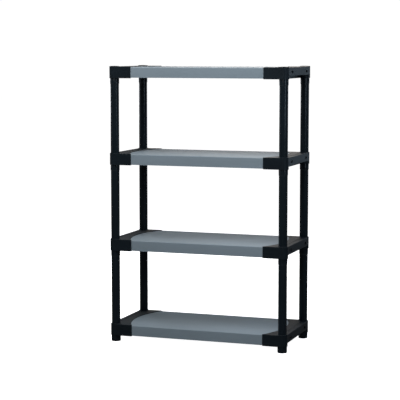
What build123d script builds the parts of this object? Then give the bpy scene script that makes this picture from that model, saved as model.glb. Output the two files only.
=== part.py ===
"""Boltless four-tier shelving unit in moulded resin.

Millimetres. X runs along the shelves, Y from front to back, Z up. The origin is on the floor, under the
middle of the unit. Every tier is a grey deck held between two black end caps; the posts stack through the
end caps' sockets, so the whole unit goes together by hand with no fastener.
"""
import os
from build123d import *

# ---- driving dimensions -------------------------------------------------------------------------------
TIERS = 4
TIER_PITCH = 432.0         # from one tier to the next
SPAN_X = 876.0             # between the post centre lines, along the shelf
SPAN_Y = 381.0             # between the post centre lines, front to back
FOOT_HEIGHT = 31.5         # floor to the underside of the lowest end caps

POST_RADIUS = 21.5
POST_BORE = 19.2           # radius of the bore of a post
COLLAR_RADIUS = 22.9       # the thicker band under every tier
COLLAR_HEIGHT = 29.0
SPIGOT_RADIUS = 19.0       # the neck on top of a post or a foot
SPIGOT_LENGTH = 42.0
SPIGOT_BORE = 16.5
BORE_TAPER = 4.0           # length over which a post's bore narrows to its neck's

FOOT_RADIUS = 23.4
FOOT_FLOOR = 4.0           # thickness of a foot's base
FOOT_EDGE = 3.0            # rounding of its bottom edge
NECK_BEVEL = 1.0           # lead-in on the necks and in the post bores

DOME_RISE = 1.9            # top cap, above the socket's rim at its middle
DOME_EDGE = 0.5            # and at its edge
PLUG_DEPTH = 24.0
PLUG_PLATE = 2.0           # thickness of its head, below the dome
PLUG_GAP = 0.15            # round its skirt, in the socket
PLUG_NECK_GAP = 0.3        # inside its skirt, round the post's neck

CAP_HEIGHT = 57.5          # end cap, from the bottom of its arms to its top face
CAP_REACH = 95.0           # from a post centre to the free end of an arm
CAP_WAIST = 40.0           # from the post centre line to the inner edge of the top strip, at mid depth
CAP_TIP = 4.0              # width of the top strip at the end of an arm
CAP_WALL = 2.5
CAP_EDGE = 2.0             # rounding of the top outer edge
CAP_LIP_EDGE = 0.8         # rounding of the bowed inner edge
CAP_FLANGE = 14.0          # the lip under an arm that holds the deck's skirt
CAP_FLANGE_THICK = 2.8
SKIRT_DROP = 41.0          # height of the side skirt between the sockets
SOCKET_RADIUS = 26.0
FACE_INSET = 0.8           # arms and side skirt, behind the sockets' outermost line
SOCKET_BORE = 21.7
SOCKET_RIM = 1.6           # how far a socket stands above the end cap's top face
RIM_BEVEL = 0.8
ARM_CORNER = 3.0           # rounding of an arm's lower corner
LEDGE = 3.0                # the floor of a socket, clamped between two posts
LEDGE_HOLE = 19.3

DECK_RECESS = 2.5          # deck top below the end caps' top face
DECK_LIFT = 3.0            # deck skirt above the bottom of the arms
DECK_WALL = 2.6
DECK_PLATE = 3.0           # thickness of the deck's top
DECK_EDGE = 4.0            # rounding of the front and back top edges
DECK_CORNER = 3.0
SOCKET_CLEAR = 4.0         # from a socket to the deck, both along and across
TONGUE_SETBACK = 8.0       # from the side skirt's inner face back to the end of a tongue
REBATE_DEPTH = 0.3         # deck top, where the lip of an end cap lies over it
REBATE_GAP = 1.0           # and this much past the lip's bowed edge
FIT_GAP = 0.2              # assembly gap between a deck and its end caps
OVERLAP = 1.0              # how far a rib is sunk into the wall that it stands on

SKIRT_RIB = 7.0            # depth of the stiffening ribs behind the side skirt
RIB_SETBACK = 2.0          # their lower end, above the skirt's lower edge
GROOVE_WIDTH = 5.0         # sunk line along the top strip, between the sockets
GROOVE_DEPTH = 1.2
GROOVE_END = 12.0          # the line stops this much short, both ends together

WINDOW_INSET = 60.0        # from a post centre to a latch window
WINDOW_DROP = 23.0         # from the end cap's top face to the middle of a window
WINDOW_LENGTH = 28.0
WINDOW_HEIGHT = 12.0
LATCH_LENGTH = 60.0         # latch ledge, inside the skirt, level with the window's lower edge
LATCH_HEIGHT = 3.0
LATCH_REACH = 12.0           # inwards from the middle of the skirt
TIE_HEIGHT = 15.5          # bar from socket to socket, low down on the inner side
TIE_THICK = 2.5
TIE_INSET = 20.0           # from the post centre line to its inner face

# ---- sizes that follow --------------------------------------------------------------------------------
HALF_X = SPAN_X / 2
HALF_Y = SPAN_Y / 2
CAP_CORNER = SOCKET_RADIUS - FACE_INSET         # radius of the end cap's outline round a post
CAP_FACE_Y = HALF_Y + CAP_CORNER                # outer face of the front and back arms
CAP_BOW_Y = CAP_FACE_Y - CAP_TIP                # where the bowed edge of the top strip meets its tips
WINDOW_LOW = CAP_HEIGHT - WINDOW_DROP - WINDOW_HEIGHT / 2
CAP_TOP_PLATE = DECK_RECESS - FIT_GAP           # thickness of the top strip, which lies on the deck
DECK_FACE_Y = CAP_FACE_Y - CAP_WALL - FIT_GAP   # front face of a deck
DECK_TOP = CAP_HEIGHT - DECK_RECESS
DECK_BODY_X = HALF_X - SOCKET_RADIUS - SOCKET_CLEAR      # half length of the full-depth part of a deck
DECK_TONGUE_X = HALF_X + CAP_CORNER - CAP_WALL - TONGUE_SETBACK
DECK_TONGUE_Y = HALF_Y - SOCKET_RADIUS - SOCKET_CLEAR
RIB_COUNT_X = 8            # ribs that run front to back
RIB_COUNT_Y = 3            # ribs that run along the deck
RIB_THICK = 1.8
RIB_DEPTH = 44.0


def tier_bottom(level):
    """Height of the bottom of the end caps of a tier, counted from 0 at the lowest."""
    return FOOT_HEIGHT + level * TIER_PITCH


# ---- posts, feet and top caps: turned shapes ----------------------------------------------------------
def make_foot(name, x, y):
    """A hollow barrel with a flat base and a neck that enters the lowest post."""
    with BuildPart() as foot:
        with BuildSketch(Plane((x, y, 0), x_dir=(1, 0, 0), z_dir=(0, -1, 0))):
            with BuildLine():
                Polyline(
                    (0, 0),
                    (FOOT_RADIUS, 0),
                    (FOOT_RADIUS, FOOT_HEIGHT),
                    (SPIGOT_RADIUS, FOOT_HEIGHT),
                    (SPIGOT_RADIUS, FOOT_HEIGHT + SPIGOT_LENGTH),
                    (SPIGOT_BORE, FOOT_HEIGHT + SPIGOT_LENGTH),
                    (SPIGOT_BORE, FOOT_FLOOR),
                    (0, FOOT_FLOOR),
                    close=True,
                )
            make_face()
        revolve(axis=Axis((x, y, 0), (0, 0, 1)))
        outer = foot.edges().filter_by(GeomType.CIRCLE)
        fillet(outer.sort_by(Axis.Z)[0], radius=FOOT_EDGE)
        rims = foot.edges().filter_by(GeomType.CIRCLE).group_by(Axis.Z)[-1]
        chamfer(rims.sort_by(SortBy.RADIUS)[-1], length=NECK_BEVEL)
    foot.part.label = name
    export_step(foot.part, f"parts/{name}.step")
    return foot.part


def make_post(name, x, y, level):
    """A tube from the ledge of one tier to the underside of the next, with a collar and a neck."""
    bottom = tier_bottom(level) + LEDGE
    top = tier_bottom(level + 1)
    taper = COLLAR_RADIUS - POST_RADIUS
    with BuildPart() as post:
        with BuildSketch(Plane((x, y, 0), x_dir=(1, 0, 0), z_dir=(0, -1, 0))):
            with BuildLine():
                Polyline(
                    (POST_BORE, bottom),
                    (POST_RADIUS, bottom),
                    (POST_RADIUS, top - COLLAR_HEIGHT),
                    (COLLAR_RADIUS, top - COLLAR_HEIGHT + taper),
                    (COLLAR_RADIUS, top),
                    (SPIGOT_RADIUS, top),
                    (SPIGOT_RADIUS, top + SPIGOT_LENGTH),
                    (SPIGOT_BORE, top + SPIGOT_LENGTH),
                    (SPIGOT_BORE, top - COLLAR_HEIGHT),
                    (POST_BORE, top - COLLAR_HEIGHT - BORE_TAPER),
                    close=True,
                )
            make_face()
        revolve(axis=Axis((x, y, 0), (0, 0, 1)))
        rims = post.edges().filter_by(GeomType.CIRCLE).group_by(Axis.Z)
        chamfer(rims[-1].sort_by(SortBy.RADIUS)[-1], length=NECK_BEVEL)
        chamfer(rims[0].sort_by(SortBy.RADIUS)[0], length=NECK_BEVEL)
    post.part.label = name
    export_step(post.part, f"parts/{name}.step")
    return post.part


def make_top_cap(name, x, y):
    """The plug that closes a top socket: a shallow dome with a skirt that slides over the post's neck."""
    seat = tier_bottom(TIERS - 1) + CAP_HEIGHT + SOCKET_RIM
    head_radius = SOCKET_RADIUS - RIM_BEVEL
    skirt_radius = SOCKET_BORE - PLUG_GAP
    skirt_bore = SPIGOT_RADIUS + PLUG_NECK_GAP
    fall = DOME_RISE - DOME_EDGE
    dome_radius = (head_radius ** 2 + fall ** 2) / (2 * fall)
    with BuildPart() as cap:
        with BuildSketch(Plane((x, y, 0), x_dir=(1, 0, 0), z_dir=(0, -1, 0))):
            with BuildLine():
                dome = RadiusArc((0, seat + DOME_RISE), (head_radius, seat + DOME_EDGE), dome_radius)
                Polyline(
                    dome @ 1,
                    (head_radius, seat),
                    (skirt_radius, seat),
                    (skirt_radius, seat - PLUG_DEPTH),
                    (skirt_bore, seat - PLUG_DEPTH),
                    (skirt_bore, seat - PLUG_PLATE),
                    (0, seat - PLUG_PLATE),
                    dome @ 0,
                )
            make_face()
        revolve(axis=Axis((x, y, 0), (0, 0, 1)))
    cap.part.label = name
    export_step(cap.part, f"parts/{name}.step")
    return cap.part


# ---- end caps -----------------------------------------------------------------------------------------
def make_end_cap(name, side, level):
    """The black end of a tier. Its own X points outwards, and its origin is midway between its posts."""
    base = tier_bottom(level)
    home = Plane(origin=(side * HALF_X, 0, base), x_dir=(side, 0, 0), z_dir=(0, 0, 1))
    plate_low = home.offset(CAP_HEIGHT - CAP_TOP_PLATE)
    face = CAP_FACE_Y
    bow = CAP_BOW_Y
    outer_x = CAP_CORNER
    corner = CAP_CORNER * 0.5 ** 0.5
    sockets = [(0, -HALF_Y), (0, HALF_Y)]
    with BuildPart() as cap:
        # top strip: straight outside, and bowed on the inside from arm to arm
        with BuildSketch(plate_low):
            with BuildLine():
                Line((-CAP_REACH, -face), (0, -face))
                ThreePointArc((0, -face), (corner, -HALF_Y - corner), (outer_x, -HALF_Y))
                Line((outer_x, -HALF_Y), (outer_x, HALF_Y))
                ThreePointArc((outer_x, HALF_Y), (corner, HALF_Y + corner), (0, face))
                Polyline((0, face), (-CAP_REACH, face), (-CAP_REACH, bow))
                ThreePointArc((-CAP_REACH, bow), (-CAP_WAIST, 0), (-CAP_REACH, -bow))
                Line((-CAP_REACH, -bow), (-CAP_REACH, -face))
            make_face()
        extrude(amount=CAP_TOP_PLATE)
        # arms along the front and back faces of the deck, each with a lip under the deck's skirt
        for turn in (-1, 1):
            inner_face = home.from_local_coords((0, turn * (face - CAP_WALL), 0))
            with BuildSketch(Plane(inner_face, x_dir=home.x_dir, z_dir=-home.y_dir)) as arm:
                with Locations((-CAP_REACH / 2, CAP_HEIGHT / 2)):
                    Rectangle(CAP_REACH, CAP_HEIGHT)
                fillet(arm.vertices().group_by(Axis.Y)[0].sort_by(Axis.X)[0], radius=ARM_CORNER)
            extrude(amount=-turn * CAP_WALL)
            with BuildSketch(home):
                with Locations((-(CAP_REACH - ARM_CORNER) / 2, turn * (face - CAP_FLANGE / 2))):
                    Rectangle(CAP_REACH - ARM_CORNER, CAP_FLANGE)
            extrude(amount=CAP_FLANGE_THICK)
        # side skirt, open along its bottom between the sockets
        with BuildSketch(home.offset(CAP_HEIGHT - SKIRT_DROP)):
            with Locations((outer_x - CAP_WALL / 2, 0)):
                Rectangle(CAP_WALL, SPAN_Y)
        extrude(amount=SKIRT_DROP)
        top_edges = cap.edges().group_by(Axis.Z)[-1]
        bowed = top_edges.filter_by(GeomType.CIRCLE).sort_by(SortBy.RADIUS)[-1]
        tips = top_edges.filter_by(Axis.Y).sort_by(Edge.length)[:2]
        fillet(top_edges - [bowed] - tips, radius=CAP_EDGE)
        bowed = cap.edges().group_by(Axis.Z)[-1].filter_by(GeomType.CIRCLE).sort_by(SortBy.RADIUS)[-1]
        fillet(bowed, radius=CAP_LIP_EDGE)
        # tie bar between the sockets
        with BuildSketch(home):
            with Locations((TIE_THICK / 2 - TIE_INSET, 0)):
                Rectangle(TIE_THICK, SPAN_Y)
        extrude(amount=TIE_HEIGHT)
        # sockets, with a bevelled rim
        with BuildSketch(home):
            with Locations(*sockets):
                Circle(SOCKET_RADIUS)
        extrude(amount=CAP_HEIGHT + SOCKET_RIM - RIM_BEVEL)
        with BuildSketch(home.offset(CAP_HEIGHT + SOCKET_RIM - RIM_BEVEL)):
            with Locations(*sockets):
                Circle(SOCKET_RADIUS)
        extrude(amount=RIM_BEVEL, taper=45)
        with BuildSketch(home.offset(LEDGE)):
            with Locations(*sockets):
                Circle(SOCKET_BORE)
        extrude(amount=CAP_HEIGHT + SOCKET_RIM, mode=Mode.SUBTRACT)
        with BuildSketch(home):
            with Locations(*sockets):
                Circle(LEDGE_HOLE)
        extrude(amount=LEDGE, mode=Mode.SUBTRACT)
        # latch windows through the side skirt, and below each a ledge that catches the deck's tongue
        window_z = CAP_HEIGHT - WINDOW_DROP
        latch_x = outer_x - CAP_WALL / 2 - LATCH_REACH / 2
        latch_z = WINDOW_LOW - FIT_GAP - LATCH_HEIGHT / 2
        for turn in (-1, 1):
            latch_y = turn * (HALF_Y - WINDOW_INSET)
            with Locations(home.location * Location((outer_x, latch_y, window_z))):
                Box(CAP_WALL * 3, WINDOW_LENGTH, WINDOW_HEIGHT, mode=Mode.SUBTRACT)
            with Locations(home.location * Location((latch_x, latch_y, latch_z))):
                Box(LATCH_REACH, LATCH_LENGTH, LATCH_HEIGHT)
        # sunk line along the top strip, from socket to socket
        with BuildSketch(home.offset(CAP_HEIGHT)):
            SlotOverall(SPAN_Y - 2 * SOCKET_RADIUS - GROOVE_END, GROOVE_WIDTH, rotation=90)
        extrude(amount=-GROOVE_DEPTH, mode=Mode.SUBTRACT)
        # stiffening ribs under the side of the strip
        with BuildSketch(home.offset(CAP_HEIGHT - SKIRT_DROP + RIB_SETBACK)):
            with Locations((outer_x - CAP_WALL - SKIRT_RIB / 2, 0)):
                with GridLocations(1, SPAN_Y / 6, 1, 3):
                    Rectangle(SKIRT_RIB + OVERLAP, CAP_WALL)
        extrude(amount=SKIRT_DROP - RIB_SETBACK - OVERLAP)
    cap.part.label = name
    export_step(cap.part, f"parts/{name}.step")
    return cap.part


# ---- decks --------------------------------------------------------------------------------------------
def make_deck(name, level):
    """A shallow inverted tray, ribbed underneath, with a tongue at each end that latches in an end cap."""
    home = Plane.XY.offset(tier_bottom(level))
    height = DECK_TOP - DECK_LIFT
    tongue_x = (DECK_TONGUE_X + DECK_BODY_X) / 2
    tongue_length = DECK_TONGUE_X - DECK_BODY_X + 2 * DECK_WALL
    with BuildPart() as deck:
        with BuildSketch(home.offset(DECK_LIFT)):
            Rectangle(2 * DECK_BODY_X, 2 * DECK_FACE_Y)
        extrude(amount=height)
        fillet(deck.edges().filter_by(Axis.Z), radius=DECK_CORNER)
        long_edges = deck.edges().filter_by(Axis.X).group_by(Axis.Z)[-1]
        fillet(long_edges, radius=DECK_EDGE)
        # hollow underside
        with BuildSketch(home.offset(DECK_LIFT)):
            Rectangle(2 * (DECK_BODY_X - DECK_WALL), 2 * (DECK_FACE_Y - DECK_WALL))
        extrude(amount=height - DECK_PLATE, mode=Mode.SUBTRACT)
        # tongues between the sockets: a top plate with a turned-down edge that stands on the latch ledges
        for side in (-1, 1):
            with BuildSketch(home.offset(DECK_TOP - DECK_PLATE)):
                with Locations((side * (tongue_x - DECK_WALL), 0)):
                    Rectangle(tongue_length, 2 * DECK_TONGUE_Y)
            extrude(amount=DECK_PLATE)
            with BuildSketch(home.offset(WINDOW_LOW)):
                with Locations((side * (DECK_TONGUE_X - DECK_WALL / 2), 0)):
                    Rectangle(DECK_WALL, 2 * DECK_TONGUE_Y)
            extrude(amount=DECK_TOP - WINDOW_LOW)
        # rib grid
        rib_low = home.offset(DECK_TOP - DECK_PLATE - RIB_DEPTH)
        pitch_x = 2 * DECK_BODY_X / (RIB_COUNT_X + 1)
        pitch_y = 2 * DECK_FACE_Y / (RIB_COUNT_Y + 1)
        with BuildSketch(rib_low):
            with GridLocations(pitch_x, 1, RIB_COUNT_X, 1):
                Rectangle(RIB_THICK, 2 * DECK_FACE_Y - DECK_WALL)
            with GridLocations(1, pitch_y, 1, RIB_COUNT_Y):
                Rectangle(2 * DECK_BODY_X - DECK_WALL, RIB_THICK)
        extrude(amount=RIB_DEPTH + OVERLAP)
        # shallow rebates under the lips of the end caps, along the same bowed line
        for side in (-1, 1):
            tip_x = side * (HALF_X - CAP_REACH - REBATE_GAP)
            waist_x = side * (HALF_X - CAP_WAIST - REBATE_GAP)
            past_x = side * (HALF_X + CAP_CORNER)
            with BuildSketch(home.offset(DECK_TOP)):
                with BuildLine():
                    ThreePointArc((tip_x, -CAP_BOW_Y), (waist_x, 0), (tip_x, CAP_BOW_Y))
                    Polyline(
                        (tip_x, CAP_BOW_Y),
                        (tip_x, CAP_FACE_Y),
                        (past_x, CAP_FACE_Y),
                        (past_x, -CAP_FACE_Y),
                        (tip_x, -CAP_FACE_Y),
                        (tip_x, -CAP_BOW_Y),
                    )
                make_face()
            extrude(amount=-REBATE_DEPTH, mode=Mode.SUBTRACT)
    deck.part.label = name
    export_step(deck.part, f"parts/{name}.step")
    return deck.part


# ---- the unit -----------------------------------------------------------------------------------------
os.makedirs("parts", exist_ok=True)

CORNERS = {
    "front_left": (-HALF_X, -HALF_Y),
    "front_right": (HALF_X, -HALF_Y),
    "back_left": (-HALF_X, HALF_Y),
    "back_right": (HALF_X, HALF_Y),
}
pieces = []
for tier in range(TIERS):
    pieces.append(make_deck(f"deck_{tier + 1}", tier))
    pieces.append(make_end_cap(f"end_cap_left_{tier + 1}", -1, tier))
    pieces.append(make_end_cap(f"end_cap_right_{tier + 1}", 1, tier))
for corner, (post_x, post_y) in CORNERS.items():
    pieces.append(make_foot(f"foot_{corner}", post_x, post_y))
    for tier in range(TIERS - 1):
        pieces.append(make_post(f"post_{corner}_{tier + 1}", post_x, post_y, tier))
    pieces.append(make_top_cap(f"top_cap_{corner}", post_x, post_y))

unit = Compound(label="shelving_unit", children=pieces)
size = unit.bounding_box().size
print(f"{len(pieces)} pieces, {size.X:.1f} x {size.Y:.1f} x {size.Z:.1f} mm")
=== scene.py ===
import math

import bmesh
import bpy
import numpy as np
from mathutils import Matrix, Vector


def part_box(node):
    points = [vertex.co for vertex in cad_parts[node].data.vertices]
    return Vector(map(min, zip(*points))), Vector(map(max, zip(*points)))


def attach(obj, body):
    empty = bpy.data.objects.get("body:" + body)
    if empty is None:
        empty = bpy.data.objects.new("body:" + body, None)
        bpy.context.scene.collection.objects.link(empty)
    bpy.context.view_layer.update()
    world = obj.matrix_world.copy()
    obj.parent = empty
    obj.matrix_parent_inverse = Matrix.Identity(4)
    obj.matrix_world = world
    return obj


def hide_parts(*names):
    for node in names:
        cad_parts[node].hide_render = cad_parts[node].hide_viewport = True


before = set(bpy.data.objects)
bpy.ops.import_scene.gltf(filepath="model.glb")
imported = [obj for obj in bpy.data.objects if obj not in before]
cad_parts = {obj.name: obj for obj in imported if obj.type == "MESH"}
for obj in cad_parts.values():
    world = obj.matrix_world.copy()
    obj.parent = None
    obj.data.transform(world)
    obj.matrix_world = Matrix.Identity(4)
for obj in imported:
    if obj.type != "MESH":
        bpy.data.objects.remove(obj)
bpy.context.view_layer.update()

# %% [markdown]
# # A push-together shelving unit in moulded resin
# Four grey decks sit between black end caps, and round black posts stack through the corners. Nothing is
# bolted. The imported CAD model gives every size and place, so this file only makes surfaces and finishes:
# the posts, feet and plugs are turned shapes, the decks are a section carried along a line, and the end
# caps keep their CAD shape, welded and smoothed.

MM = 0.001

# %% [markdown]
# ## Sizes, read from the frame
# A part's box says where it stands and how big it is. The tier pitch is the distance between two decks,
# and a post's centre line is the middle of its foot. Only what a box cannot say, such as how round an edge
# is, is given here in millimetres.

# %% Sizes
CORNERS = ("front_left", "front_right", "back_left", "back_right")
TIERS = (1, 2, 3, 4)


def centre_of(node):
    """Middle of a node's box, in plan."""
    low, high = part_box(node)
    return (low.x + high.x) / 2, (low.y + high.y) / 2


FOOT_LOW, FOOT_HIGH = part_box("foot_front_right")
POST_LOW, POST_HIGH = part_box("post_front_right_1")
CAP_LOW, CAP_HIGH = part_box("end_cap_right_1")
DECK_LOW, DECK_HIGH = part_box("deck_1")
POST_X, POST_Y = centre_of("foot_back_right")
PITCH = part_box("deck_2")[0].z - DECK_LOW.z
COLLAR_RADIUS = (POST_HIGH.x - POST_LOW.x) / 2
FOOT_RADIUS = (FOOT_HIGH.x - FOOT_LOW.x) / 2
SOCKET_RADIUS = CAP_HIGH.x - POST_X
POST_RADIUS = COLLAR_RADIUS - 1.4 * MM
COLLAR_HEIGHT = 29 * MM
POST_WALL = 2.3 * MM
NECK_RADIUS = POST_RADIUS - 2.5 * MM
NECK_BORE = NECK_RADIUS - 2.5 * MM
SOCKET_CLEAR = 4 * MM      # from a socket to the deck, both along and across
BODY_X = POST_X - SOCKET_RADIUS - SOCKET_CLEAR     # half length of a deck between its tongues
print(f"posts at {POST_X:.4f}, {POST_Y:.4f}; pitch {PITCH:.4f}")
print(f"radii: post {POST_RADIUS:.4f}, collar {COLLAR_RADIUS:.4f}, socket {SOCKET_RADIUS:.4f}")

# %% [markdown]
# ## Turning arrays into meshes
# A surface here is a grid of points: rows along one parameter, columns along the other. Where a row or a
# column closes on itself the grid wraps. Points that fall together, as at a pole, are welded, and edges
# sharper than a moulder could round are marked sharp so that the rest can be shaded smooth.

# %% Grid helpers
def grid_faces(rows, columns, wrap_rows=False, wrap_columns=False):
    """Quads of a grid: point (i, j) has number i * columns + j."""
    i = np.arange(rows if wrap_rows else rows - 1)[:, None]
    j = np.arange(columns if wrap_columns else columns - 1)[None, :]
    i_next = (i + 1) % rows
    j_next = (j + 1) % columns
    corners = (i * columns + j, i_next * columns + j, i_next * columns + j_next, i * columns + j_next)
    return np.stack(np.broadcast_arrays(*corners), axis=-1).reshape(-1, 4)


def joined(*surfaces):
    """Several surfaces, each of points, quads and a mask of edges painted paler, as one."""
    points, quads, wear_and_highlight, start = [], [], [], 0
    for surface in surfaces:
        points.append(surface[0].reshape(-1, 3))
        quads.append(surface[1] + start)
        wear_and_highlight.append(surface[2].reshape(-1))
        start += len(points[-1])
    return np.concatenate(points), np.concatenate(quads), np.concatenate(wear_and_highlight)


SHARP_DEGREES = 38
WELD = 0.002 * MM


def make_piece(name, surface, material):
    """A mesh object at the origin, welded, smooth except at sharp edges, with the mask of edges painted
    paler by rubbing and painted highlight as an attribute.
    """
    points, quads, wear_and_highlight = surface
    mesh = bpy.data.meshes.new(name)
    mesh.from_pydata(points.reshape(-1, 3), [], quads.tolist())
    # the edge attribute marks edges painted paler: partly rubbing, partly a painted highlight
    worn_and_highlit = mesh.attributes.new("edge", "FLOAT", "POINT")
    worn_and_highlit.data.foreach_set("value", wear_and_highlight.reshape(-1).astype(np.float32))
    finish_mesh(mesh)
    mesh.materials.append(material)
    piece = bpy.data.objects.new(name, mesh)
    bpy.context.scene.collection.objects.link(piece)
    return piece


def finish_mesh(mesh):
    """Welds points that coincide, points the faces outwards and sets smooth shading with sharp creases."""
    work = bmesh.new()
    work.from_mesh(mesh)
    bmesh.ops.remove_doubles(work, verts=work.verts, dist=WELD)
    bmesh.ops.recalc_face_normals(work, faces=work.faces)
    for face in work.faces:
        face.smooth = True
    for edge in work.edges:
        edge.smooth = edge.calc_face_angle(math.pi) < math.radians(SHARP_DEGREES)
    work.to_mesh(mesh)
    work.free()


def install(piece, slot, *nodes):
    """The piece rides with the unit and stands for its CAD nodes, which it hides. The slot is not used."""
    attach(piece, "root")
    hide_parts(*nodes)


# %% [markdown]
# ## Rounding a profile
# A moulding has no knife edges. Each corner of a profile carries a radius, and the corner is swapped for a
# curve that leaves one side and joins the other without a kink. The same call says how much each point
# lies on a rounding, which the finishes use later to paint those edges paler: partly rubbing, partly a
# painted highlight.

# %% Rounded profiles
def rounded(corners, steps=4):
    """A closed profile with its corners rounded.

    corners is a list of (u, v, radius). Near corner P the outline follows the curve
    (1 - t)^2 A + 2 t (1 - t) P + t^2 B, where A and B lie a radius away from P along its two sides.
    """
    corners = np.array(corners, float)
    here = corners[:, :2]
    before = np.roll(here, 1, axis=0) - here
    after = np.roll(here, -1, axis=0) - here
    before_length = np.linalg.norm(before, axis=1, keepdims=True)
    after_length = np.linalg.norm(after, axis=1, keepdims=True)
    reach = corners[:, 2:3]
    start = here + before / before_length * np.minimum(reach, before_length * 0.49)
    end = here + after / after_length * np.minimum(reach, after_length * 0.49)
    t = np.linspace(0, 1, steps + 1)[None, :, None]
    curve = (1 - t) ** 2 * start[:, None] + 2 * t * (1 - t) * here[:, None] + t ** 2 * end[:, None]
    # share of each point on a rounding, later painted paler as rubbing and as a painted highlight
    on_round = np.sin(np.pi * t[..., 0]) * (reach > 0)
    return curve.reshape(-1, 2), np.broadcast_to(on_round, curve.shape[:2]).reshape(-1)


# %% [markdown]
# ## Colours and shader nodes
# The colours are sRGB hex values turned to linear light by one function. One small function adds any node,
# sets it up and links it, so a finish reads as a short list of what it is made of.

# %% Colour and node helpers
def linear(hex_colour):
    """'#7b858f' as linear red, green, blue and alpha."""
    channels = np.array([int(hex_colour[i:i + 2], 16) for i in (1, 3, 5)]) / 255
    curve = np.where(channels <= 0.04045, channels / 12.92, ((channels + 0.055) / 1.055) ** 2.4)
    return (*curve.tolist(), 1.0)


def add(tree, kind, inputs=None, **settings):
    """One node: settings are its own properties, inputs are values or the sockets that feed it."""
    made = tree.nodes.new(kind)
    for name, value in settings.items():
        setattr(made, name, value)
    for name, value in (inputs or {}).items():
        if isinstance(value, bpy.types.NodeSocket):
            tree.links.new(value, made.inputs[name])
        else:
            made.inputs[name].default_value = value
    return made


def per_metre(size_mm):
    """Scale of a noise whose features are about size_mm wide, on coordinates in metres."""
    return 1 / (size_mm * MM)


# %% [markdown]
# ## Moulded resin
# All the black and grey pieces are polypropylene or polyethylene, coloured in the pellet and formed in a
# steel mould. The eye sees three things: a fine even grain etched into the mould, slow changes of gloss and
# tone where the melt flowed, and edges painted a little paler, partly for rubbing and partly as a painted
# highlight. The recipe is the same for each resin, with its own colours, gloss and sizes.

# %% The resin recipe
MIX_A, MIX_B = 6, 7        # the two colour inputs of a Mix node
MIX_COLOUR = 2             # and its colour output
NOISE_RANGE = {"From Min": 0.3, "From Max": 0.7}   # nearly all of a noise lies in between
FLOW_STRETCH = (0.35, 1, 1)                        # the melt ran along X
SPECK_PER_GRAIN = 3        # tone and gloss vary in specks three grains wide
BUMP_STRENGTH = 0.6


def moulded_resin(name, deep, pale, worn_and_highlit, roughness, shine, grain_mm, grain_depth_mm, flow_mm, sinks=None):
    """A moulded plastic.

    deep and pale are the two tones that drift over the surface, the third colour is the paler tone painted
    on edges, partly for rubbing and partly as a painted highlight, roughness is its lowest and highest
    value, shine the specular level, and sinks the (x, y) pitch of the ribs whose cooling leaves faint dips
    in the face above them.
    """
    material = bpy.data.materials.new(name)
    material.use_nodes = True
    tree = material.node_tree
    surface = tree.nodes["Principled BSDF"]
    where = add(tree, "ShaderNodeTexCoord").outputs["Object"]
    stretched = add(tree, "ShaderNodeMapping", {"Vector": where, "Scale": FLOW_STRETCH}).outputs["Vector"]
    flow = add(tree, "ShaderNodeTexNoise", {"Vector": stretched, "Scale": per_metre(flow_mm), "Detail": 3.0})
    speck = add(tree, "ShaderNodeTexNoise",
                {"Vector": where, "Scale": per_metre(grain_mm * SPECK_PER_GRAIN), "Detail": 2.0})
    grain = add(tree, "ShaderNodeTexNoise", {"Vector": where, "Scale": per_metre(grain_mm), "Detail": 2.0})
    drift = add(tree, "ShaderNodeMapRange", {"Value": flow.outputs["Fac"], **NOISE_RANGE})
    body = add(tree, "ShaderNodeMix",
               {"Factor": drift.outputs["Result"], MIX_A: linear(deep), MIX_B: linear(pale)},
               data_type="RGBA")
    # edges painted paler, with speckle: partly rubbing, partly a painted highlight
    edge = add(tree, "ShaderNodeAttribute", attribute_name="edge").outputs["Fac"]
    rubbed_and_highlit = add(tree, "ShaderNodeMath", {0: edge, 1: speck.outputs["Fac"]}, operation="MULTIPLY")
    colour = add(tree, "ShaderNodeMix",
                 {"Factor": rubbed_and_highlit.outputs["Value"], MIX_A: body.outputs[MIX_COLOUR], MIX_B: linear(worn_and_highlit)},
                 data_type="RGBA")
    tree.links.new(colour.outputs[MIX_COLOUR], surface.inputs["Base Color"])
    gloss = add(tree, "ShaderNodeMapRange", {"Value": speck.outputs["Fac"], **NOISE_RANGE,
                                             "To Min": roughness[0], "To Max": roughness[1]})
    tree.links.new(gloss.outputs["Result"], surface.inputs["Roughness"])
    surface.inputs["Specular IOR Level"].default_value = shine
    height = grain.outputs["Fac"]
    if sinks:
        height = with_sinks(tree, where, height, sinks)
    bump = add(tree, "ShaderNodeBump",
               {"Height": height, "Strength": BUMP_STRENGTH, "Distance": grain_depth_mm * MM})
    tree.links.new(bump.outputs["Normal"], surface.inputs["Normal"])
    return material


SINK_WIDTH = 7 * MM
SINK_DEPTH = 0.5           # as a share of the grain's height
HALF_TURN = 0.5            # PINGPONG between 0 and this gives the distance to the nearest whole number


def with_sinks(tree, where, height, sinks):
    """Adds a dip along every rib line: height minus a smooth pulse of the distance to the nearest line.

    The ribs across X are even in number, so their lines lie half a pitch off the middle of the deck. Those
    across Y are odd in number, and one lies on the middle.
    """
    axes = add(tree, "ShaderNodeSeparateXYZ", {"Vector": where})
    for axis, pitch, offset in zip("XY", sinks, (HALF_TURN, 0.0)):
        turns = add(tree, "ShaderNodeMath", {0: axes.outputs[axis], 1: 1 / pitch}, operation="MULTIPLY")
        shifted = add(tree, "ShaderNodeMath", {0: turns.outputs["Value"], 1: offset}, operation="ADD")
        away = add(tree, "ShaderNodeMath", {0: shifted.outputs["Value"], 1: HALF_TURN}, operation="PINGPONG")
        dip = add(tree, "ShaderNodeMapRange",
                  {"Value": away.outputs["Value"], "From Min": 0.0, "From Max": SINK_WIDTH / pitch,
                   "To Min": SINK_DEPTH, "To Max": 0.0}, interpolation_type="SMOOTHSTEP")
        height = add(tree, "ShaderNodeMath", {0: height, 1: dip.outputs["Result"]},
                     operation="SUBTRACT").outputs["Value"]
    return height
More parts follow.
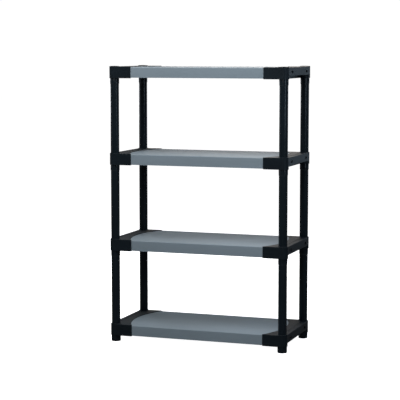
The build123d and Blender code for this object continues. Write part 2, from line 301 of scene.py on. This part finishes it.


# %% [markdown]
# ## The three finishes
# **Moulded polypropylene, grey**: the decks. It is filled and fairly matt, so it keeps its own bluish grey
# from above and turns brighter and more neutral only where it is seen along the surface.
# ** Moulded polypropylene, black**: end caps, plugs and feet. Carbon black hides everything but the gloss, so
# its shape is read from soft reflections and from edges painted slightly paler, partly by rubbing and partly
# as a painted highlight.
# **Blow-moulded polyethylene, black**: the posts. The mould is smooth and the wall waxy, which gives each
# post one soft upright streak of light.

# %% The finishes
RIBS_ALONG_X = 8
RIBS_ALONG_Y = 3
RIB_PITCH_X = 2 * BODY_X / (RIBS_ALONG_X + 1)
RIB_PITCH_Y = (DECK_HIGH.y - DECK_LOW.y) / (RIBS_ALONG_Y + 1)

# a filled, matt resin: soft broad sheen, with faint dips over the ribs
GREY = moulded_resin("moulded_polypropylene_grey", deep="#6f7b83", pale="#75818a", worn_and_highlit="#89949b",
                     roughness=(0.44, 0.5), shine=0.12, grain_mm=1.5, grain_depth_mm=0.12, flow_mm=160,
                     sinks=(RIB_PITCH_X, RIB_PITCH_Y))
# the same resin with carbon black: almost no colour of its own, so edges painted paler, partly by rubbing
# and partly as a painted highlight, draw its shape
BLACK = moulded_resin("moulded_polypropylene_black", deep="#0f161b", pale="#131b21", worn_and_highlit="#30363b",
                      roughness=(0.41, 0.47), shine=0.11, grain_mm=1.5, grain_depth_mm=0.12, flow_mm=90)
# a smooth waxy wall: a narrower streak of light, and only a shallow waviness instead of a grain
POST = moulded_resin("blow_moulded_polyethylene_black", deep="#0f171c", pale="#121a20", worn_and_highlit="#262d32",
                     roughness=(0.2, 0.24), shine=0.2, grain_mm=4.0, grain_depth_mm=0.02, flow_mm=200)
print("finishes", GREY.name, BLACK.name, POST.name)

# %% [markdown]
# ## Posts, feet and plugs: turned surfaces
# A post is a tube with a thicker collar near its top and a neck above that. On a lathe it would be one
# profile swung about its centre line, and here it is the same: each profile point (radius, height) gives a
# ring of points. Blow-moulding leaves two fine raised lines where the halves of the mould met, so the radius
# grows a little at two opposite angles, on the outside only.

# %% Turning
PARTING_HEIGHT = 0.15 * MM
PARTING_WIDTH = 0.02       # radians
PARTING_STEPS = (-2.5, -1.2, -0.6, 0.6, 1.2, 2.5)      # extra points, in widths from a parting line
SEGMENTS = 80


def turn_angles():
    """Even angles round the circle, with extra ones close to the two parting lines."""
    even = np.linspace(0, 2 * np.pi, SEGMENTS, endpoint=False)
    close = np.array(PARTING_STEPS) * PARTING_WIDTH
    return np.unique(np.round(np.concatenate([even, close % (2 * np.pi), np.pi + close]), 6))


def turned(corners, centre, outside_from=np.inf, closed=True):
    """A profile of (radius, height, rounding) swung about the vertical line through centre.

    x = cx + r cos a, y = cy + r sin a, z = h. Where r is at least outside_from, r also gets the parting
    line: PARTING_HEIGHT * exp(-(sin a / PARTING_WIDTH)^2), which is highest at a = 0 and a = pi.
    """
    profile, wear_and_highlight = rounded(corners)
    angles = turn_angles()
    radius, height = profile[:, :1], profile[:, 1:]
    ridge = PARTING_HEIGHT * np.exp(-(np.sin(angles) / PARTING_WIDTH) ** 2)[None, :]
    swung = radius + ridge * (radius >= outside_from)
    points = np.stack([centre[0] + swung * np.cos(angles), centre[1] + swung * np.sin(angles),
                       height + 0 * swung], axis=-1)
    worn_and_highlit = np.broadcast_to(wear_and_highlight[:, None], swung.shape)
    return points, grid_faces(len(profile), len(angles), wrap_rows=closed, wrap_columns=True), worn_and_highlit


OUTSIDE = 0.1 * MM         # a point this close to the outer radius counts as outside
TAPER = 4 * MM             # height over which a post's bore narrows to its neck's


def make_post(corner, level):
    """One length of post: shaft, collar and neck, hollow all through."""
    node = f"post_{corner}_{level}"
    low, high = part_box(node)
    seat = CAP_LOW.z + level * PITCH
    bore = POST_RADIUS - POST_WALL
    collar_low = seat - COLLAR_HEIGHT
    step = COLLAR_RADIUS - POST_RADIUS
    profile = [
        (bore, low.z, 0.8 * MM),
        (POST_RADIUS, low.z, 0.8 * MM),
        (POST_RADIUS, collar_low, 1.5 * MM),
        (COLLAR_RADIUS, collar_low + step, 1.2 * MM),
        (COLLAR_RADIUS, seat, 1.0 * MM),
        (NECK_RADIUS, seat, 0.5 * MM),
        (NECK_RADIUS, high.z, 1.5 * MM),
        (NECK_BORE, high.z, 0.6 * MM),
        (NECK_BORE, collar_low, 2.0 * MM),
        (bore, collar_low - TAPER, 2.0 * MM),
    ]
    surface = turned(profile, centre_of(node), outside_from=POST_RADIUS - OUTSIDE)
    install(make_piece(f"{node}_moulding", surface, POST), "post_resin", node)


FOOT_FLOOR = 4 * MM        # thickness of a foot's base


def make_foot(corner):
    """The barrel under the lowest tier, with a rounded base and a neck that enters the first post."""
    node = f"foot_{corner}"
    low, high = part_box(node)
    seat = CAP_LOW.z
    profile = [
        (0, low.z, 0),
        (FOOT_RADIUS, low.z, 3.0 * MM),
        (FOOT_RADIUS, seat, 1.0 * MM),
        (NECK_RADIUS, seat, 0.5 * MM),
        (NECK_RADIUS, high.z, 1.5 * MM),
        (NECK_BORE, high.z, 0.6 * MM),
        (NECK_BORE, low.z + FOOT_FLOOR, 2.0 * MM),
        (0, low.z + FOOT_FLOOR, 0),
    ]
    surface = turned(profile, centre_of(node), outside_from=FOOT_RADIUS - OUTSIDE, closed=False)
    install(make_piece(f"{node}_moulding", surface, BLACK), "black_resin", node)


DOME_RISE = 1.9 * MM       # a top cap's middle above the socket's rim
DOME_EDGE = 0.5 * MM       # and its edge above the rim
DOME_FALL = 0.35 * MM      # how much lower the dome is halfway out
PLUG_PLATE = 2 * MM
SOCKET_TO_SKIRT = 4.45 * MM
PLUG_NECK_GAP = 0.3 * MM


def make_plug(corner):
    """The closed top of a corner: a shallow dome with a skirt inside the socket."""
    node = f"top_cap_{corner}"
    low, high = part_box(node)
    head = (high.x - low.x) / 2
    seat = high.z - DOME_RISE
    skirt = SOCKET_RADIUS - SOCKET_TO_SKIRT
    skirt_bore = NECK_RADIUS + PLUG_NECK_GAP
    profile = [
        (0, high.z, 0),
        (head / 2, high.z - DOME_FALL, 6 * MM),
        (head, seat + DOME_EDGE, 0.5 * MM),
        (head, seat, 0.2 * MM),
        (skirt, seat, 0.3 * MM),
        (skirt, low.z, 0.6 * MM),
        (skirt_bore, low.z, 0.4 * MM),
        (skirt_bore, seat - PLUG_PLATE, 1.0 * MM),
        (0, seat - PLUG_PLATE, 0),
    ]
    surface = turned(profile, centre_of(node), closed=False)
    install(make_piece(f"{node}_moulding", surface, BLACK), "black_resin", node)


for corner in CORNERS:
    make_foot(corner)
    make_plug(corner)
    for level in TIERS[:-1]:
        make_post(corner, level)
print("turned pieces", len(CORNERS) * (len(TIERS) + 1))

# %% [markdown]
# ## Decks: a section carried along a line
# A deck is a tray turned upside down. Its section, which is the front skirt, the top and the back skirt, has
# an outer and an inner line with the same number of points, so that the wall between them closes at both
# ends with a strip of quads. The ribs under it and the tongues at its ends are bars with rounded edges.

# %% Deck surfaces
REBATE = 0.3 * MM          # the deck dips this much where an end cap's lip covers it
LIP_TIP_X = POST_X - 96 * MM       # where the lip's bowed edge meets the arms
LIP_WAIST_X = POST_X - 41 * MM     # and where it comes closest to the posts, at mid depth
LIP_TIP_Y = CAP_HIGH.y - 4.8 * MM
RIM = 3.5 * MM             # width of the rim next to a lip, painted paler as a highlight line
STEP = 0.1 * MM            # run over which the top goes down into the rebate
SPANS = 12                 # rows from the middle of a deck to a lip
PLATE = 3.0 * MM           # thickness of a deck's top
WALL = 2.6 * MM            # and of its skirts and tongues
TOP_EDGE = 4.0 * MM        # rounding of the front and back top edges
INNER_EDGE = 2.0 * MM
FLAT_POINTS = 9            # points across the flat top, so that rows can follow the lip's bow
FLAT_MARGIN = 12 * MM
RIB_HALF = 0.9 * MM        # half the thickness of a rib
RIB_DEPTH = 44 * MM
RIB_EDGE = 0.3 * MM
RIB_SUNK = 1 * MM          # how far a rib goes into the top, so that no gap shows
TONGUE_LOW = 28.5 * MM     # lower edge of a tongue, above the bottom of its end cap
TONGUE_EDGE = 0.8 * MM
END_WALL_EDGE = 0.5 * MM
HAIR = 0.1 * MM            # keeps faces of touching bars from lying in one plane


def lip_line(y):
    """Where the lip's bowed edge crosses y: an arc through the two tips and the waist.

    x = waist - (R - sqrt(R^2 - y^2)), with R from half the chord c and the rise s: (c^2 + s^2) / 2s.
    """
    rise = LIP_WAIST_X - LIP_TIP_X
    radius = (LIP_TIP_Y ** 2 + rise ** 2) / (2 * rise)
    return LIP_WAIST_X - (radius - np.sqrt(radius ** 2 - np.minimum(np.abs(y), LIP_TIP_Y) ** 2))


def deck_tray(outer, inner, wear_and_highlight, top):
    """The wall between two open lines in the Y-Z plane, carried along X.

    Each row is the closed loop outer[0..n], inner[n..0]. Rows between the lips stand at t * lip_line(y)
    for t from -1 to 1, so they follow the bowed edges. Past a lip line the outer side is cut down to the
    rebate, and the last row is straight. The ends close with quads between outer[k], outer[k + 1],
    inner[k + 1] and inner[k]. The top of the rim next to the lip is painted paler, as a painted highlight
    line.
    """
    loop = np.concatenate([outer, inner[::-1]])
    lip = lip_line(loop[:, 0])
    half = [t * (lip - RIM) for t in np.linspace(0, 1, SPANS)]
    half += [lip - RIM * 0.8, lip - STEP, lip + STEP, np.full_like(lip, BODY_X)]
    x = np.stack([-row for row in half[:0:-1]] + half)
    rows, count = x.shape
    y = np.broadcast_to(loop[:, 0], x.shape)
    z = np.broadcast_to(loop[:, 1], x.shape).copy()
    covered = [0, 1, rows - 2, rows - 1]
    z[covered] = np.minimum(z[covered], top - REBATE)
    worn_and_highlit = np.broadcast_to(np.concatenate([wear_and_highlight, 0 * wear_and_highlight]), x.shape).copy()
    is_top = loop[:, 1] > top - HAIR / 10
    # the rim beside each lip is painted paler all along: a painted highlight line
    for row in (2, 3, rows - 4, rows - 3):
        worn_and_highlit[row, is_top] = 1.0
    k = np.arange(len(outer) - 1)
    first = np.stack([k, k + 1, count - 2 - k, count - 1 - k], axis=-1)
    last = (first + (rows - 1) * count)[:, ::-1]
    quads = grid_faces(rows, count, wrap_columns=True)
    return np.stack([x, y, z], axis=-1), np.concatenate([quads, first, last]), worn_and_highlit


def bar(low, high, edge):
    """A box with rounded edges: a rounded section in Y-Z carried along X, drawn in over the last stretch."""
    (x0, y0, z0), (x1, y1, z1) = low, high
    middle = [(y0 + y1) / 2, (z0 + z1) / 2]
    section, _ = rounded([(y0, z0, edge), (y1, z0, edge), (y1, z1, edge), (y0, z1, edge)], steps=2)
    drawn_in = section - np.sign(section - middle) * edge / 2
    pole = np.broadcast_to(middle, section.shape)
    stations = [x0, x0, x0 + edge / 2, x1 - edge / 2, x1, x1]
    rings = [pole, drawn_in, section, section, drawn_in, pole]
    points = np.stack([np.column_stack([np.full(len(ring), x), ring]) for x, ring in zip(stations, rings)])
    return points, grid_faces(len(stations), len(section), wrap_columns=True), np.zeros(points.shape[:2])


def end_bar(side, x_range, half_y, z_range, edge):
    """A bar that lies evenly about Y = 0, at the end of the deck on the given side, -1 or 1."""
    x0, x1 = sorted(side * x for x in x_range)
    return bar((x0, -half_y, z_range[0]), (x1, half_y, z_range[1]), edge)


def deck_section(low_z, top, half_y, edge, steps=6):
    """An open line up the front skirt, over the top and down the back skirt, with its rounding."""
    reach = DECK_HIGH.y - FLAT_MARGIN
    flat = [(y, top, 0) for y in np.linspace(-reach, reach, FLAT_POINTS)]
    front = [(-half_y, low_z, 0), (-half_y, top, edge)]
    back = [(half_y, top, edge), (half_y, low_z, 0)]
    return rounded(front + flat + back, steps=steps)


def make_deck(level):
    """The tray with its rib grid, and the tongues that stand on the end caps' latch ledges."""
    node = f"deck_{level}"
    low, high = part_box(node)
    top, half_y = high.z, high.y
    outer, wear_and_highlight = deck_section(low.z, top, half_y, TOP_EDGE)
    inner, _ = deck_section(low.z, top - PLATE, half_y - WALL, INNER_EDGE)
    parts = [deck_tray(outer, inner, wear_and_highlight, top)]

    rib_high = top - PLATE + RIB_SUNK
    rib_low = top - PLATE - RIB_DEPTH
    rib_x, rib_y = BODY_X - WALL / 2, half_y - WALL / 2
    for i in range(RIBS_ALONG_X):
        x = (i - (RIBS_ALONG_X - 1) / 2) * RIB_PITCH_X
        parts.append(bar((x - RIB_HALF, -rib_y, rib_low), (x + RIB_HALF, rib_y, rib_high), RIB_EDGE))
    for i in range(RIBS_ALONG_Y):
        y = (i - (RIBS_ALONG_Y - 1) / 2) * RIB_PITCH_Y
        parts.append(bar((-rib_x, y - RIB_HALF, rib_low), (rib_x, y + RIB_HALF, rib_high), RIB_EDGE))

    tongue_low = CAP_LOW.z + (level - 1) * PITCH + TONGUE_LOW
    tongue_y = POST_Y - SOCKET_RADIUS - SOCKET_CLEAR
    for side in (-1, 1):
        end_wall = end_bar(side, (BODY_X - WALL, BODY_X - 2 * HAIR), rib_y,
                           (low.z + 2 * HAIR, top - 10 * HAIR), END_WALL_EDGE)
        tongue = end_bar(side, (BODY_X - WALL, high.x), tongue_y,
                         (top - PLATE + HAIR, top - REBATE - HAIR / 2), TONGUE_EDGE)
        turned_down = end_bar(side, (high.x - WALL, high.x - HAIR), tongue_y - HAIR,
                              (tongue_low, top - REBATE - 2 * HAIR), TONGUE_EDGE)
        parts += [end_wall, tongue, turned_down]
    install(make_piece(f"{node}_moulding", joined(*parts), GREY), "grey_resin", node)


for level in TIERS:
    make_deck(level)
print("decks", len(TIERS))

# %% [markdown]
# ## End caps: the CAD shape, welded and smoothed
# An end cap has sockets, arms, windows and a sunk line, and its CAD shape is already right, roundings
# included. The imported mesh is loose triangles, so a copy is welded and its flat faces are merged. Edges
# sharper than a limit stay crisp and everything else is shaded smooth. A fine bevel then gives the crisp
# edges the small radius that every moulding has.

# %% End caps
BEVEL_WIDTH = 0.5 * MM
CRISP = math.radians(30)   # a sharper edge stays a crease
FLAT = math.radians(0.5)   # faces that meet flatter than this are merged
CAD_WELD = 0.01 * MM


def make_end_cap(side, level):
    """A welded copy of an end cap. Its crisp outer edges get a fine bevel, whose faces are painted paler,
    partly for rubbing and partly as a painted highlight.
    """
    node = f"end_cap_{side}_{level}"
    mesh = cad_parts[node].data.copy()
    mesh.materials.clear()
    mesh.materials.append(BLACK)
    work = bmesh.new()
    work.from_mesh(mesh)
    bmesh.ops.remove_doubles(work, verts=work.verts, dist=CAD_WELD)
    bmesh.ops.dissolve_limit(work, angle_limit=FLAT, verts=work.verts, edges=work.edges)
    crisp = [edge for edge in work.edges if edge.is_convex and edge.calc_face_angle(0) > CRISP]
    bevelled = bmesh.ops.bevel(work, geom=crisp, offset=BEVEL_WIDTH, offset_type="OFFSET", segments=2,
                               profile=0.5, affect="EDGES", clamp_overlap=True)
    # bevel faces painted paler: partly rubbing, partly a painted highlight
    rubbed_and_highlit = work.loops.layers.float.new("edge")
    for face in bevelled["faces"]:
        for loop in face.loops:
            loop[rubbed_and_highlit] = 1.0
    for face in work.faces:
        face.smooth = True
    for edge in work.edges:
        edge.smooth = edge.calc_face_angle(math.pi) < CRISP
    work.to_mesh(mesh)
    work.free()
    piece = bpy.data.objects.new(f"{node}_moulding", mesh)
    bpy.context.scene.collection.objects.link(piece)
    shading = piece.modifiers.new("flat faces stay flat", "WEIGHTED_NORMAL")
    shading.keep_sharp = True
    install(piece, "black_resin", node)


for level in TIERS:
    for side in ("left", "right"):
        make_end_cap(side, level)
print("end caps", 2 * len(TIERS))

# %% [markdown]
# ## Floor
# The unit stands on a lit white sheet, as small goods do on a light table, so the floor stays white and
# without shadow. The sheet is seen but sheds no light on the unit, because that much light from below would
# wash out the black resin.

# %% Floor
FLOOR_HALF = 30.0          # far enough for its edge to be lost in the pale surround


def make_floor(half):
    """A large white sheet, lit from below."""
    mesh = bpy.data.meshes.new("floor")
    corners = [(-half, -half, 0), (half, -half, 0), (half, half, 0), (-half, half, 0)]
    mesh.from_pydata(corners, [], [(0, 1, 2, 3)])
    floor = bpy.data.objects.new("floor", mesh)
    bpy.context.scene.collection.objects.link(floor)
    material = bpy.data.materials.new("lit_white_acrylic_sheet")
    material.use_nodes = True
    surface = material.node_tree.nodes["Principled BSDF"]
    surface.inputs["Base Color"].default_value = linear("#f6f6f6")
    surface.inputs["Roughness"].default_value = 0.9
    surface.inputs["Specular IOR Level"].default_value = 0.0
    surface.inputs["Emission Color"].default_value = (1, 1, 1, 1)
    surface.inputs["Emission Strength"].default_value = 1.0
    mesh.materials.append(material)
    floor.visible_diffuse = False
    floor.visible_glossy = False


make_floor(FLOOR_HALF)

# %% [markdown]
# ## Light
# Soft boxes stand round the unit, each with a task of its own. The largest, overhead and to the front, gives
# the fronts and tops their level, and falls off from the highest tier to the lowest. The boxes on the right
# are bluish, and model the side skirts and the posts. The ones behind put a sheen on the decks, which are
# seen along their surface, and keep the back from going black. The surround looks white and sheds only a
# little light, more of it from below, so that the undersides can be read.

# %% Light
WHITE = (1, 1, 1, 1)
WORLD_LOW, WORLD_HIGH = -0.9, -0.3


def soft_box(name, place, aim, size, power, colour):
    """A rectangular soft light at place, facing aim, that the camera itself doesn't see."""
    lamp = bpy.data.lights.new(name, "AREA")
    lamp.shape = "RECTANGLE"
    lamp.size, lamp.size_y = size
    lamp.energy = power
    lamp.color = linear(colour)[:3]
    holder = bpy.data.objects.new(name, lamp)
    holder.location = place
    holder.rotation_mode = "QUATERNION"
    holder.rotation_quaternion = (Vector(aim) - Vector(place)).to_track_quat("-Z", "Y")
    holder.visible_camera = False
    bpy.context.scene.collection.objects.link(holder)


def make_world(seen, above, below):
    """A pale surround: seen is its brightness behind the unit, above and below the light it sheds.

    The two meet between WORLD_LOW and WORLD_HIGH, heights on the sphere of directions from -1 to 1.
    """
    world = bpy.data.worlds.new("pale_surround")
    bpy.context.scene.world = world
    world.use_nodes = True
    tree = world.node_tree
    direction = add(tree, "ShaderNodeTexCoord").outputs["Generated"]
    height = add(tree, "ShaderNodeSeparateXYZ", {"Vector": direction}).outputs["Z"]
    amount = add(tree, "ShaderNodeMapRange", {"Value": height, "From Min": WORLD_LOW, "From Max": WORLD_HIGH,
                                              "To Min": below, "To Max": above})
    shed = tree.nodes["Background"]
    shed.inputs["Color"].default_value = WHITE
    tree.links.new(amount.outputs["Result"], shed.inputs["Strength"])
    shown = add(tree, "ShaderNodeBackground", {"Color": WHITE, "Strength": seen})
    ray = add(tree, "ShaderNodeLightPath")
    both = add(tree, "ShaderNodeMixShader", {"Fac": ray.outputs["Is Camera Ray"]})
    tree.links.new(shed.outputs["Background"], both.inputs[1])
    tree.links.new(shown.outputs["Background"], both.inputs[2])
    tree.links.new(both.outputs["Shader"], tree.nodes["World Output"].inputs["Surface"])


# name, place, aim, size, power in watts, colour
SOFT_BOXES = (
    # level of the fronts and tops
    ("overhead_box", (0.15, -1.65, 3.3), (0, 0, 0.8), (2.2, 2.0), 99, "#ffffff"),
    # lifts the lower decks and the arms
    ("front_box", (0.0, -4.5, 2.4), (0, 0, 0.8), (2.0, 2.0), 22, "#ffffff"),
    # left flank of the posts
    ("left_box", (-2.6, -1.0, 1.6), (0, 0, 0.8), (0.8, 2.2), 7, "#e6f3ff"),
    # side skirts on the right
    ("right_box", (2.4, 0.6, 2.4), (0, 0, 1.1), (0.8, 1.4), 22, "#d6ebff"),
    # the upright streak on the posts
    ("right_front_strip", (1.9, -1.25, 1.4), (0.44, -0.19, 1.2), (0.22, 1.3), 8, "#d6ebff"),
    # right edge of the posts at the back
    ("back_right_box", (1.7, 3.0, 1.2), (0.46, 0, 1.0), (1.2, 1.6), 6, "#c9e4fb"),
    # the back of the unit
    ("back_left_box", (-3.2, 2.8, 1.8), (0, 0, 0.7), (1.5, 2.0), 48, "#eef6ff"),
    # sheen along the decks and the end caps' top strips
    ("back_high_box", (0.0, 2.6, 2.4), (0, 0, 0.6), (2.6, 1.2), 32, "#fff9f3"),
)
make_world(seen=1.02, above=0.08, below=0.5)
for box in SOFT_BOXES:
    soft_box(*box)
print("soft boxes", len(SOFT_BOXES))

# %% [markdown]
# ## Camera
# A long lens from a little to the right and above the middle, as for a catalogue picture.

# %% Camera
SENSOR = 36                # millimetres
CLIP_END = 100             # metres, past the edge of the floor


def make_camera(place, aim, lens):
    """A camera at place that looks at aim, with a 36 mm sensor."""
    camera = bpy.data.objects.new("camera", bpy.data.cameras.new("camera"))
    camera.data.lens = lens
    camera.data.sensor_width = SENSOR
    camera.location = place
    camera.rotation_mode = "QUATERNION"
    camera.rotation_quaternion = (Vector(aim) - Vector(place)).to_track_quat("-Z", "Y")
    camera.data.clip_end = CLIP_END
    bpy.context.scene.collection.objects.link(camera)
    bpy.context.scene.camera = camera


make_camera(place=(2.314, -6.702, 1.471), aim=(-0.0218, -0.0915, 0.7220), lens=127.1)
bpy.context.scene.view_settings.view_transform = "Standard"
